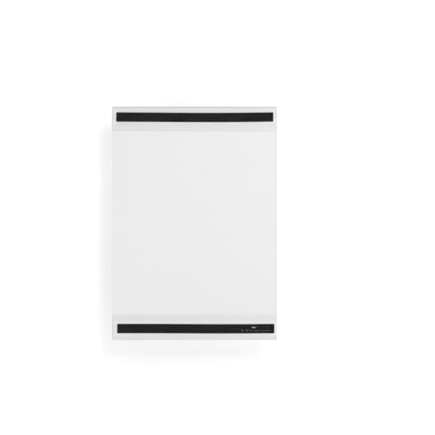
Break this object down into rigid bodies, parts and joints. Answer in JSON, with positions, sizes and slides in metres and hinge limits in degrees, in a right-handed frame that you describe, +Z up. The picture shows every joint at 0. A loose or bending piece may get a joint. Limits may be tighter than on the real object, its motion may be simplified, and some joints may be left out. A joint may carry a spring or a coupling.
{
  "type": "magnetic document sleeve",
  "caption": "Flat upright A4 film sleeve with black magnetic strips under clear bands at top and bottom, holding a blank sheet that slides out at the side.",
  "frame": {"origin": "on the magnet side's contact plane, level with the top strip's centre line, at the sleeve's mid-width", "axes": "+Z up along the long side, +X to the right and towards the pocket's open side as the magnet side is seen, +Y through the sleeve from the magnet side to the reading side"},
  "size_m": [0.22, 0.0026, 0.311],
  "materials": {
    "backing_film": "frosted polypropylene film, light grey-white",
    "window_film": "clear polypropylene film with a pressed weld line",
    "band_film": "clear polypropylene film, slightly grey over the backing",
    "strip_facing": null,
    "magnet_rubber": "ferrite-filled rubber, dark brown-black",
    "adhesive_tape": "thin double-sided acrylic tape",
    "paper": "blank uncoated white card"
  },
  "bodies": {
    "sleeve": {"back_sheet": "backing_film", "window_sheet": "window_film", "top_band_film": "band_film", "bottom_band_film": "band_film", "top_strip_facing": "strip_facing", "bottom_strip_facing": "strip_facing", "top_magnet_strip": "magnet_rubber", "bottom_magnet_strip": "magnet_rubber", "top_adhesive_tape": "adhesive_tape", "bottom_adhesive_tape": "adhesive_tape"},
    "insert": {"insert_sheet": "paper"}
  },
  "joints": [
    {"name": "insert_slide", "type": "slide", "parent": "sleeve", "child": "insert", "axis": [1, 0, 0], "range_m": [0, 0.21]}
  ]
}
